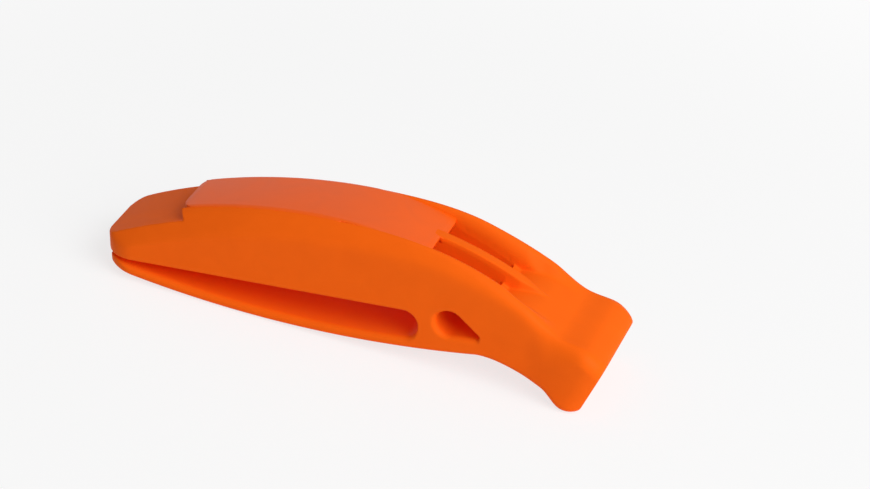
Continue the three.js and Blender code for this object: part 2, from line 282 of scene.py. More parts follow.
@dataclass(frozen=True)
class Lines:
    """The lines that the pieces share: the arched top and the belly."""

    crest: float = 10.6
    front_radius: float = 54.0
    recess: float = 1.5
    tail_reach: float = 31.5
    tail_thickness: float = 2.4
    neck_slope: float = math.radians(33.0)
    neck_length: float = 11.2
    lip_bead: float = 2.9
    lip_flare_run: float = 4.8
    belly_depth: float = 5.95
    belly_low: float = 5.0
    leaf_thickness: float = 1.5
    tip_setback: float = 1.0
    tip_gap: float = 0.3

    @property
    def rear_radius(self) -> float:
        """The radius of the rear arch, which falls from the crest to a recess depth over the tail."""
        drop = self.crest - self.recess - self.tail_thickness
        return (self.tail_reach**2 + drop**2) / (2.0 * drop)

    @property
    def neck_top(self) -> float:
        """The distance along the top at which the arch gives way to the straight neck."""
        return self.front_radius * self.neck_slope

    @property
    def mouth_end(self) -> float:
        """The distance along the top at which the mouth ends."""
        return self.neck_top + self.neck_length

    @property
    def lip_crest(self) -> float:
        """Where along the top the lip's bead stands highest."""
        return self.mouth_end - self.lip_bead

    @property
    def lip_start(self) -> float:
        """Where along the top the lip begins to swell out of the neck."""
        return self.lip_crest - self.lip_flare_run

    @property
    def tip_reach(self) -> float:
        """How far the clip leaf reaches behind the crest."""
        return self.tail_reach - self.tip_setback

    @property
    def belly_radius(self) -> float:
        """The radius of the belly's arc, on which the leaf's tip comes up to just under the gap's roof."""
        rise = self.belly_depth - self.leaf_thickness - self.tip_gap
        return ((self.tip_reach + self.belly_low) ** 2 + rise**2) / (2.0 * rise)

    def top(self, along: float, depth: float = 0.0) -> Vector:
        """A point of the arched top.

        Args:
            along: The distance along the top from its crest, positive to the mouth.
            depth: How far the point lies under the top.

        Returns:
            The point, with Y at zero.
        """
        radius = self.rear_radius if along < 0.0 else self.front_radius
        angle = min(along / radius, self.neck_slope)
        past = max(along - self.neck_top, 0.0)
        reach = radius - depth
        x = reach * math.sin(angle) + past * math.cos(angle)
        z = self.crest - radius + reach * math.cos(angle) - past * math.sin(angle)
        return Vector((x, 0.0, z))

    def along_at(self, x: float) -> float:
        """The distance along the arched top at which it reaches a given X."""
        radius = self.rear_radius if x < 0.0 else self.front_radius
        return radius * math.asin(x / radius)

    def belly(self, x: float) -> float:
        """The height of the belly's arc at a given X."""
        radius = self.belly_radius
        return radius - self.belly_depth - math.sqrt(radius**2 - (x - self.belly_low) ** 2)


@dataclass(frozen=True)
class Plan:
    """The lie of the arched top: its two rails, the hollow between them, the rib and the windows."""

    lines: Lines = Lines()
    facets: Facets = Facets()
    cover_tail: float = 20.8
    cover_tail_width: float = 8.4
    window_span: float = 11.5
    spread_end: float = 18.0
    neck_top_width: float = 13.1
    rail_rise: float = 0.65
    rail_start: float = 4.0
    rail_full: float = 20.0
    rail_fade: float = 29.0
    rail_land: float = 0.2
    seat_overrun: float = 3.0
    seat_overlap: float = 1.0
    window_back: float = 9.6
    window_half_back: float = 4.5
    window_half_front: float = 4.0
    window_shoulder: float = 1.75
    valley_depth: float = 1.1
    valley_soft_share: float = 0.4
    exit_dip: float = 1.3
    exit_dip_run: float = 6.0
    rib_width: float = 1.7
    rib_drop: float = 0.35
    rib_taper: float = 26.5
    rib_point: float = 31.2
    rib_round: float = 0.15
    rib_wall: float = 0.2
    labium_near: float = 15.0
    labium_far: float = 15.5
    flue_exit: float = 25.1
    cover_crease: float = 0.7
    rail_crease: float = 0.3
    neck_crease: float = 1.5

    @property
    def half_rib(self) -> float:
        """Half the rib's width."""
        return self.rib_width / 2.0

    @property
    def cover_front(self) -> float:
        """Where the longer of the cover's two tongues ends."""
        return max(self.labium_near, self.labium_far)

    def half_top(self, along: float) -> float:
        """Half the width between the two top edges, which spread apart towards the neck.

        Args:
            along: The distance along the top.

        Returns:
            Half the width.
        """
        cover = held((along + self.cover_tail) / (self.spread_end + self.cover_tail))
        width = mix(self.cover_tail_width, self.window_span, cover)
        return mix(width, self.neck_top_width, ease(along, self.spread_end, self.lines.lip_start)) / 2.0

    def rise(self, along: float) -> float:
        """How far the rails rise over the arch."""
        fade = 1.0 - ease(along, self.rail_fade, self.lines.lip_start)
        return self.rail_rise * ease(along, self.rail_start, self.rail_full) * fade

    def half_foot(self, along: float) -> float:
        """Half the width of the hollow at its foot, which narrows from the cover to the windways."""
        share = held((along - self.cover_front) / (self.flue_exit - self.cover_front))
        return mix(self.window_half_back, self.window_half_front, share)

    def half_seat(self, along: float) -> float:
        """Half the width of the cover's seat."""
        return self.half_top(along) - self.rail_land

    def crease(self, along: float) -> float:
        """How far on either side of a top edge its rounding reaches."""
        rail = mix(self.cover_crease, self.rail_crease, ease(along, 0.0, self.cover_front))
        return mix(rail, self.neck_crease, ease(along, self.cover_front, self.lines.lip_start))

    def hollow(self, along: float, across: float) -> float:
        """How deep the hollow between the rails lies under them, with the rib left standing in it.

        Args:
            along: The distance along the top.
            across: The distance from the middle.

        Returns:
            The depth.
        """
        if not self.rail_start < along < self.lines.lip_start:
            return 0.0
        rise = self.rise(along)
        past = held((along - self.flue_exit) / (self.lines.lip_start - self.flue_exit))
        back = held((along - self.cover_front) / (self.flue_exit - self.cover_front))
        dip = self.exit_dip * held(1.0 - (along - self.flue_exit) / self.exit_dip_run) ** 2
        floor = mix(self.window_shoulder, self.valley_depth * (1.0 - past) + dip, back)
        outer = self.half_seat(along)
        share = held((outer - abs(across)) / (outer - self.half_foot(along)))
        turned = 1.0 - math.sqrt(1.0 - share**2)
        soft = ease(past, 0.0, self.valley_soft_share)
        side = (rise + floor) * mix(turned, ease(share, 0.0, 1.0), soft)
        taper = held((along - self.rib_taper) / (self.rib_point - self.rib_taper))
        half_rib = self.half_rib * (1.0 - taper)
        on_rib = 1.0 - ease(abs(across), half_rib - self.rib_round, half_rib + self.rib_wall)
        on_rib *= 1.0 - ease(along, self.rib_point - self.rib_wall, self.rib_point + self.half_rib)
        return mix(side, min(rise + self.rib_drop, side), on_rib)

    def channel(self, name: str, start: float, end: float, depth: float,
                reach: Callable[[float], tuple[float, float]]) -> bpy.types.Object:
        """A cutter that goes down from over the top to an even depth.

        Args:
            name: The cutter's name.
            start: Where it starts along the top.
            end: Where it ends along the top.
            depth: How deep it cuts.
            reach: Gives its two sides across at a distance along the top.

        Returns:
            The cutter.
        """
        rings = []
        for along in steps(start, end, self.facets.channel):
            inner, outer = reach(along)
            low = self.lines.top(along, depth)
            high = self.lines.top(along, -CLEAR)
            rings.append(shifted([low], inner) + shifted([low, high], outer) + shifted([high], inner))
        return loft(name, rings)

    def seat(self, depth: float) -> bpy.types.Object:
        """The cutter for the cover's seat, out over the tail and up to where the hollow begins."""
        ends = (-self.cover_tail - self.seat_overrun, self.rail_start + self.seat_overlap)
        return self.channel("cover_seat", *ends, depth,
                            lambda along: (-self.half_seat(along), self.half_seat(along)))

    def window(self, side: Side, depth: float) -> bpy.types.Object:
        """The cutter for the window on one side of the rib."""
        return self.channel(f"window_{side.name}", self.window_back, self.flue_exit, depth,
                            lambda along: (side.value * self.half_rib, side.value * self.half_foot(along)))


@dataclass(frozen=True)
class Stand:
    """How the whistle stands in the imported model: tilted about Y and shifted, in metres."""

    tilt: float
    shift: Vector

    @classmethod
    def from_frame(cls, lines: Lines, foot: Vector, root: Vector, joint: dict) -> "Stand":
        """Works out the stand from the two places that it rests on and from the clip's joint.

        Args:
            lines: The whistle's shared lines.
            foot: The lowest point of the lip.
            root: The clip's hinge in the whistle's own frame.
            joint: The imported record's joint of the clip.

        Returns:
            The stand.
        """
        centre = Vector((lines.belly_low, 0.0, lines.belly_radius - lines.belly_depth)) - foot
        tilt = math.atan2(centre.x, centre.z) + math.acos(lines.belly_radius / centre.length)
        turned = Matrix.Rotation(-tilt, 3, "Y") @ (root * METRES)
        return cls(tilt, Vector(joint["pos_m"]) - turned)

    @property
    def matrix(self) -> Matrix:
        """Carries a point in millimetres of the whistle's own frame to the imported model's frame."""
        turn = Matrix.Rotation(-self.tilt, 4, "Y")
        return Matrix.Translation(self.shift) @ turn @ Matrix.Scale(METRES, 4)

    def place(self, name: str, bm: bmesh.types.BMesh) -> bpy.types.Object:
        """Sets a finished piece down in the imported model's frame, with smooth faces.

        Args:
            name: The piece's name.
            bm: The piece in the whistle's own frame, which is used up.

        Returns:
            The piece.
        """
        bmesh.ops.transform(bm, matrix=self.matrix, verts=bm.verts[:])
        for face in bm.faces:
            face.smooth = True
        return as_object(name, bm)


@dataclass(frozen=True)
class MouldedPlastic:
    """A satin moulded plastic with faint flow marks and a fine mould grain, both sized in metres."""

    name: str
    colour: tuple[float, float, float]
    roughness: float = 0.45
    specular: float = 0.03
    flow: float = 0.006
    flow_detail: float = 4.0
    flow_twist: float = 1.4
    flow_tone: float = 0.06
    flow_gloss: float = 0.05
    grain: float = 0.00022
    grain_detail: float = 2.0
    grain_height: float = 0.0000022

    def material(self) -> bpy.types.Material:
        """Builds the finish as a material.

        Returns:
            The material.
        """
        material = bpy.data.materials.new(self.name)
        material.use_nodes = True
        tree = material.node_tree
        shader = tree.nodes["Principled BSDF"]
        shader.inputs["Specular IOR Level"].default_value = self.specular
        place = add_node(tree, "TexCoord")
        flow = add_node(tree, "TexNoise", {
            "Scale": 1.0 / self.flow, "Detail": self.flow_detail, "Distortion": self.flow_twist,
        })
        tone = add_node(tree, "Mix", {
            "A": (*((1.0 - self.flow_tone) * c for c in self.colour), 1.0),
            "B": (*(min((1.0 + self.flow_tone) * c, 1.0) for c in self.colour), 1.0),
        }, data_type="RGBA")
        gloss = add_node(tree, "MapRange", {
            "To Min": self.roughness - self.flow_gloss, "To Max": self.roughness + self.flow_gloss,
        })
        grain = add_node(tree, "TexNoise", {"Scale": 1.0 / self.grain, "Detail": self.grain_detail})
        bump = add_node(tree, "Bump", {"Distance": self.grain_height})
        wire(
            tree,
            (place, "Object", flow, "Vector"),
            (place, "Object", grain, "Vector"),
            (flow, "Fac", tone, "Factor"),
            (flow, "Fac", gloss, "Value"),
            (grain, "Fac", bump, "Height"),
            (tone, "Result", shader, "Base Color"),
            (gloss, "Result", shader, "Roughness"),
            (bump, "Normal", shader, "Normal"),
        )
        return material


@dataclass
class Moulding:
    """The body with its mouthpiece and the clip leaf that springs from it: one moulding."""

    lines: Lines
    plan: Plan
    finish: MouldedPlastic
    facets: Facets = Facets()
    body_width: float = 14.0
    shoulder_drop: float = 3.9
    shoulder_slope: float = math.radians(51.0)
    shoulder_pull: float = 2.2
    belly_edge: float = 0.7
    tail_corner: float = 4.5
    raised_corner: float = 3.5
    neck_start: float = 21.7
    neck_width: float = 14.5
    neck_round: float = 1.3
    neck_drop: float = 4.6
    neck_under_slope: float = math.radians(8.0)
    lip_width: float = 16.2
    lip_thickness: float = 6.2
    lip_lean: float = math.radians(25.7)
    lip_flare: float = 1.15
    lip_splay_run: float = 9.0
    lip_round: float = 0.8
    lip_turn: float = 0.65
    lip_edge: float = 1.9
    lip_corner: float = 1.0
    root_reach: float = 11.6
    leaf_edge: float = 0.75
    rim_overrun: float = 1.0
    hole_round: Vector = field(default_factory=lambda: Vector((18.1, 0.0, -0.9)))
    hole_radius: float = 1.95
    hole_point: Vector = field(default_factory=lambda: Vector((21.8, 0.0, -2.2)))
    hole_point_radius: float = 0.42
    hole_fillet: float = 0.75
    hole_soft_way: Vector = field(default_factory=lambda: Vector((-0.75, 0.0, -0.66)))
    hole_soft_start: float = -0.3
    hole_soft_full: float = 0.7
    chamber_floor: float = 1.3
    chamber_floor_end: float = 12.0
    chamber_back: dict[Side, float] = field(default_factory=lambda: {Side.NEAR: 19.2, Side.FAR: 15.4})
    flue_roof: float = 1.7
    flue_height: float = 1.1
    flue_overlap: float = 1.0
    mouth_hole_depth: float = 2.0
    mouth_hole_height: float = 2.6
    voxel: float = 0.12
    soften: int = 5
    soften_factor: float = 0.5
    triangles: int = 220_000
    parting: float = 10.0
    parting_reach: float = 1.0
    parting_roof: float = -2.0
    parting_snap: float = 0.0001
    flex_end: float = -8.0

    @property
    def half(self) -> float:
        """Half the body's width."""
        return self.body_width / 2.0

    @property
    def flue_top(self) -> float:
        """How deep the windways' roofs lie under the top."""
        return self.plan.valley_depth + self.flue_roof

    @property
    def flue_floor(self) -> float:
        """How deep the windways' floors lie under the top."""
        return self.flue_top + self.flue_height

    @property
    def root(self) -> Vector:
        """The middle of the leaf's root, about which the clip turns."""
        height = self.lines.belly(self.root_reach) + self.lines.leaf_thickness / 2.0
        return Vector((self.root_reach, 0.0, height))

    @property
    def lip_down(self) -> Vector:
        """The direction from the lip's top to its foot."""
        return Vector((-math.sin(self.lip_lean), 0.0, -math.cos(self.lip_lean)))

    @property
    def neck_along(self) -> float:
        """Where along the top the neck begins."""
        return self.lines.along_at(self.neck_start)

    def neck_under(self, along: float) -> Vector:
        """A point of the neck's underside, which runs from the belly to the foot of the lip.

        Args:
            along: Where the point's section lies along the top.

        Returns:
            The point, with Y at zero.
        """
        share = (along - self.neck_along) / (self.lines.mouth_end - self.neck_along)
        start = Vector((self.neck_start, 0.0, self.lines.belly(self.neck_start)))
        end = self.lines.top(self.lines.mouth_end) + self.lip_down * self.lip_thickness
        pull = (end.x - start.x) / 3.0
        slope = self.neck_under_slope
        first = start + Vector((pull, 0.0, 0.0))
        second = end + pull * Vector((-math.cos(slope), 0.0, math.sin(slope)))
        rest = 1.0 - share
        return rest**3 * start + 3 * rest**2 * share * first + 3 * rest * share**2 * second + share**3 * end

    def lip_foot(self) -> Vector:
        """The point of the lip that the whistle stands on, with Y at zero."""
        return self.neck_under(self.lines.lip_crest) + self.lip_down * self.lip_flare

    def ring(self, base: Vector, crown: Vector, half: float, half_top: float, drop: float, corner: float,
             slope: float, along: float) -> list[Vector]:
        """One closed section of the outside, between the belly line and the top line.

        Args:
            base: The section's lowest point.
            crown: Its highest point.
            half: Half the width at the sides.
            half_top: Half the width between the top edges.
            drop: How far under the top the shoulder meets the side.
            corner: The radius of the belly's edges.
            slope: How steeply the shoulder leaves the top edge.
            along: Where the section lies along the top.

        Returns:
            The section's points.
        """
        up = crown - base
        height = up.length
        up.normalize()
        lean = min((half - half_top) * slope, drop)
        weight = mix(ROUND, self.shoulder_pull, slope / math.tan(self.shoulder_slope))
        crease = self.plan.crease(along)
        flank = []
        for share in spread(0.0, 1.0, self.facets.shoulder):
            rest = 1.0 - share
            pull = 2.0 * rest * share * weight
            whole = rest**2 + pull + share**2
            across = half - (half - half_top) * rest**2 / whole
            rise = height - (pull * lean + share**2 * drop) / whole
            flank.append((across, rise - self.rounding(across - half_top, crease, slope)))
        for angle in quarter(self.facets.belly_edge):
            flank.append((half - corner + corner * math.cos(angle), corner - corner * math.sin(angle)))
        outline = flank + [(-across, rise) for across, rise in reversed(flank)]
        for across in spread(-half_top, half_top, self.facets.top)[1:-1]:
            sunk = self.rounding(abs(across) - half_top, crease, slope) + self.plan.hollow(along, across)
            outline.append((across, height - sunk))
        return [base + up * rise + Vector((0.0, across, 0.0)) for across, rise in outline]

    def rounding(self, past: float, crease: float, slope: float) -> float:
        """How far a rounded top edge lies under a sharp one, at a distance past it across."""
        return slope / (4.0 * crease) * max(crease - abs(past), 0.0) ** 2

    def body_rings(self) -> list[list[Vector]]:
        """Upright sections from the tail to the neck.

        Returns:
            The sections in order.
        """
        lines = self.lines
        tail = lines.tail_reach
        rounding = [self.tail_corner * (1.0 - math.cos(a)) - tail for a in quarter(self.facets.tail_corner)]
        slope = math.tan(self.shoulder_slope)
        rings = []
        for x in rounding[:-1] + steps(rounding[-1], self.neck_start, self.facets.body):
            short = max(self.tail_corner - (x + tail), 0.0)
            half = self.half - self.tail_corner + math.sqrt(self.tail_corner**2 - short**2)
            along = lines.along_at(x)
            base = Vector((x, 0.0, lines.belly(x)))
            crown = lines.top(along, -self.plan.rise(along))
            half_top = min(self.plan.half_top(along), half)
            rings.append(self.ring(
                base, crown, half, half_top, self.shoulder_drop, self.belly_edge, slope, along,
            ))
        return rings

    def neck_ring(self, along: float) -> list[Vector]:
        """A leaning section of the neck, or of the lip that swells out of it to a bead.

        Args:
            along: Where the section lies along the top.

        Returns:
            The section's points.
        """
        lines = self.lines
        waist = ease(along, self.neck_along, lines.lip_start)
        flare = ease(along, lines.lip_start, lines.lip_crest)
        past = held((along - lines.lip_crest) / lines.lip_bead)
        drawn = self.lip_round * (1.0 - math.sqrt(1.0 - past**2))
        swell = self.lip_flare * flare - drawn
        base = self.neck_under(along) + self.lip_down * swell
        crown = lines.top(along, -swell - self.plan.rise(along))
        splay = ease(along, lines.lip_crest - self.lip_splay_run, lines.lip_crest)
        half = mix(mix(self.body_width, self.neck_width, waist), self.lip_width, splay) / 2.0
        half -= self.lip_turn * past**2
        soft = ease(along, self.plan.rail_fade, lines.lip_start)
        neck_top = mix(self.plan.half_top(along), half - self.neck_round, soft)
        half_top = mix(neck_top, half - self.lip_edge, flare)
        drop = mix(mix(self.shoulder_drop, self.neck_drop, waist), self.lip_edge, flare)
        corner = mix(self.belly_edge, self.lip_corner, waist)
        slope = math.tan(self.shoulder_slope) * (1.0 - soft)
        return self.ring(base, crown, half, half_top, drop, corner, slope, along)

    def outside(self) -> bpy.types.Object:
        """The outer form of body, neck, lip and leaf together.

        Returns:
            The form.
        """
        lines = self.lines
        bead = [lines.lip_crest + lines.lip_bead * math.sin(a) for a in quarter(self.facets.bead)]
        alongs = steps(self.neck_along, lines.lip_crest, self.facets.neck)[1:] + bead[1:]
        return loft("outside", self.body_rings() + [self.neck_ring(along) for along in alongs])

    def flared(self, name: str, outline: Sequence[tuple[Vector, Vector, float]],
               radius: float) -> bpy.types.Object:
        """A cutter right through from side to side, with rounded rims where it leaves the sides.

        Args:
            name: The cutter's name.
            outline: Each point with its outward direction and its share of the rounding.
            radius: The rounding's radius.

        Returns:
            The cutter.
        """
        rings = []
        inner = self.half - radius
        rise = [inner + radius * math.sin(a) for a in quarter(self.facets.rim)]
        for y in mirrored(rise, self.half + self.rim_overrun):
            out = min(max(abs(y) - inner, 0.0), radius)
            grow = radius - math.sqrt(radius**2 - out**2)
            rings.append(shifted([point + way * (share * grow) for point, way, share in outline], y))
        return loft(name, rings)

    def strap_gap(self) -> bpy.types.Object:
        """The gap for a strap: flat roof, round front end, and the leaf's soft upper edges.

        Returns:
            The cutter.
        """
        lines = self.lines
        still = Vector()
        down = Vector((0.0, 0.0, -1.0))
        behind = -lines.tail_reach - CLEAR
        below = -lines.belly_depth - CLEAR
        end = -(lines.belly(self.root_reach) + lines.leaf_thickness) / 2.0
        centre = Vector((self.root_reach, 0.0, -end))
        outline = [(Vector((behind, 0.0, 0.0)), still, 0.0)]
        for point in arc(centre, end, math.pi / 2.0, -math.pi / 2.0, self.facets.gap_end):
            out = (point - centre).normalized()
            outline.append((point, out, max(-out.z, 0.0) ** 2))
        for x in steps(self.root_reach, -lines.tip_reach, self.facets.leaf)[1:]:
            outline.append((Vector((x, 0.0, lines.belly(x) + lines.leaf_thickness)), down, 1.0))
        outline.append((Vector((-lines.tip_reach, 0.0, below)), still, 0.0))
        outline.append((Vector((behind, 0.0, below)), still, 0.0))
        return self.flared("strap_gap", outline, self.leaf_edge)

    def lanyard_hole(self) -> bpy.types.Object:
        """The teardrop hole, with a wide soft rim behind and below.

        Returns:
            The cutter.
        """
        way = self.hole_point - self.hole_round
        heading = math.atan2(way.z, way.x)
        gap = math.acos((self.hole_radius - self.hole_point_radius) / way.length)
        low, high = heading - gap, heading + gap
        big = arc(self.hole_round, self.hole_radius, high, low + 2.0 * math.pi, self.facets.hole_round)
        small = arc(self.hole_point, self.hole_point_radius, low, high, self.facets.hole_point)
        outline = []
        for points, centre in ((big, self.hole_round), (small, self.hole_point)):
            for point in points:
                out = (point - centre).normalized()
                soft = ease(out.dot(self.hole_soft_way), self.hole_soft_start, self.hole_soft_full)
                outline.append((point, out, soft))
        return self.flared("lanyard_hole", outline, self.hole_fillet)

    def tail_step(self) -> bpy.types.Object:
        """What is cut off over the tail, behind the two round corners of the raised part.

        Returns:
            The cutter.
        """
        lines = self.lines
        count = self.facets.tail_arch
        behind = -lines.along_at(lines.tail_reach) - CLEAR
        centre = lines.top(-self.plan.cover_tail).x + self.raised_corner
        side = self.half - self.raised_corner
        turn = [side + self.raised_corner * math.sin(a) for a in quarter(self.facets.raised_corner)]
        rings = []
        for y in mirrored(turn, CLEAR):
            out = min(max(abs(y) - side, 0.0), self.raised_corner)
            front = lines.along_at(centre - math.sqrt(self.raised_corner**2 - out**2))
            floor = [lines.top(along, lines.recess) for along in spread(behind, front, count)]
            roof = [lines.top(along, -CLEAR) for along in spread(front, behind, count)]
            rings.append(shifted(floor + roof, y))
        return loft("tail_step", rings)

    def bay(self, name: str, outline: Sequence[Vector], side: Side) -> bpy.types.Object:
        """A cutter of one outline, as wide as the windway on one side of the rib."""
        reach = (side.value * self.plan.half_rib, side.value * self.plan.window_half_front)
        return loft(f"{name}_{side.name}", [shifted(outline, y) for y in reach])

    def chamber(self, side: Side) -> bpy.types.Object:
        """One sound chamber under the cover.

        Args:
            side: The side of the rib that it lies on.

        Returns:
            The cutter.
        """
        lines = self.lines
        front = self.plan.flue_exit
        back = -self.chamber_back[side]
        roof = lines.recess / 2.0
        outline = [
            Vector((lines.top(back).x, 0.0, self.chamber_floor)),
            Vector((self.chamber_floor_end, 0.0, self.chamber_floor)),
            lines.top(front, self.flue_floor),
            *(lines.top(along, roof) for along in steps(front, back, self.facets.chamber)),
        ]
        return self.bay("chamber", outline, side)

    def windway(self, side: Side) -> bpy.types.Object:
        """One windway, from the mouth to the window that it blows across.

        Args:
            side: The side of the rib that it lies on.

        Returns:
            The cutter.
        """
        lines = self.lines
        roof, floor = self.flue_top, self.flue_floor
        exit_along = self.plan.flue_exit
        window = exit_along - self.flue_overlap
        past = lines.mouth_end + CLEAR
        widen = (past - exit_along) / (lines.mouth_end - exit_along)
        outline = [
            lines.top(window, roof),
            lines.top(window, floor),
            lines.top(exit_along, floor),
            lines.top(past, mix(floor, self.mouth_hole_depth + self.mouth_hole_height, widen)),
            lines.top(past, mix(roof, self.mouth_hole_depth, widen)),
            lines.top(exit_along, roof),
        ]
        return self.bay("windway", outline, side)

    def cutters(self) -> list[bpy.types.Object]:
        """All that is cut out of the outer form.

        Returns:
            The cutters.
        """
        plan = self.plan
        cut = [self.strap_gap(), self.lanyard_hole(), self.tail_step(), plan.seat(self.lines.recess)]
        for side in Side:
            cut += [plan.window(side, self.flue_floor), self.chamber(side), self.windway(side)]
        return cut

    def skin(self) -> bpy.types.Mesh:
        """The whole moulding as one closed skin with softly rounded edges.

        Returns:
            The skin.
        """
        form = self.outside()
        cutters = self.cutters()
        for cutter in cutters:
            cut = form.modifiers.new(cutter.name, "BOOLEAN")
            cut.operation = "DIFFERENCE"
            cut.solver = "MANIFOLD"
            cut.object = cutter
        remesh = form.modifiers.new("skin", "REMESH")
        remesh.mode = "VOXEL"
        remesh.voxel_size = self.voxel
        soften = form.modifiers.new("soften", "SMOOTH")
        soften.factor = self.soften_factor
        soften.iterations = self.soften
        mesh = applied(form)
        log.info("moulding skin: %d faces before thinning", len(mesh.polygons))
        skin = linked("skin", mesh)
        thin = skin.modifiers.new("thin", "DECIMATE")
        thin.ratio = min(self.triangles / (2.0 * len(mesh.polygons)), 1.0)
        thinned = applied(skin)
        discard(form, skin, *cutters)
        return thinned

    def in_leaf(self, point: Vector) -> bool:
        """Whether a point of the skin belongs to the leaf rather than to the body over the gap."""
        leaf_top = self.lines.belly(point.x) + self.lines.leaf_thickness
        return point.x < self.parting and point.z < leaf_top / 2.0

    def at_parting(self, point: Vector) -> bool:
        """Whether a point of the skin lies near the leaf's parting, low enough to be of the leaf."""
        return abs(point.x - self.parting) < self.parting_reach and point.z < self.parting_roof

    def part(self, skin: bpy.types.Mesh, leaf: bool) -> bmesh.types.BMesh:
        """Parts the skin across the leaf's root and keeps one of the two pieces, closed.

        Args:
            skin: The whole moulding.
            leaf: True for the leaf, False for the body.

        Returns:
            The piece.
        """
        bm = bmesh.new()
        bm.from_mesh(skin)
        near = [face for face in bm.faces if self.at_parting(face.calc_center_median())]
        edges = dict.fromkeys(edge for face in near for edge in face.edges)
        verts = dict.fromkeys(vert for face in near for vert in face.verts)
        bmesh.ops.bisect_plane(
            bm, geom=[*near, *edges, *verts], dist=self.parting_snap,
            plane_co=(self.parting, 0.0, 0.0), plane_no=(1.0, 0.0, 0.0),
        )
        lost = [face for face in bm.faces if self.in_leaf(face.calc_center_median()) != leaf]
        bmesh.ops.delete(bm, geom=lost, context="FACES")
        rim = [edge for edge in bm.edges if edge.is_boundary]
        for edge in rim:
            edge.smooth = False
        bmesh.ops.contextual_create(bm, geom=rim)
        return bm

    def build(self, stand: Stand) -> list[bpy.types.Object]:
        """Makes the body and the clip leaf.

        Args:
            stand: How the whistle stands.

        Returns:
            The two pieces.
        """
        skin = self.skin()
        names = {"whistle_body": False, "clip_leaf": True}
        pieces = [stand.place(name, self.part(skin, leaf)) for name, leaf in names.items()]
        bpy.data.meshes.remove(skin)
        return pieces

    def dress(self, body: bpy.types.Object, leaf: bpy.types.Object, stand: Stand) -> None:
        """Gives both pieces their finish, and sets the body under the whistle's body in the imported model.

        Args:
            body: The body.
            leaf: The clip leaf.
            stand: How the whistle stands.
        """
        material = self.finish.material()
        for piece, node in ((body, "body"), (leaf, "strap_clip")):
            piece.data.materials.append(material)
            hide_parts(node)
        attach(body, "whistle")
        places = [
            stand.matrix @ Vector((x, 0.0, self.lines.belly(x))) for x in (self.parting, self.flex_end)
        ]
        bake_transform(leaf)


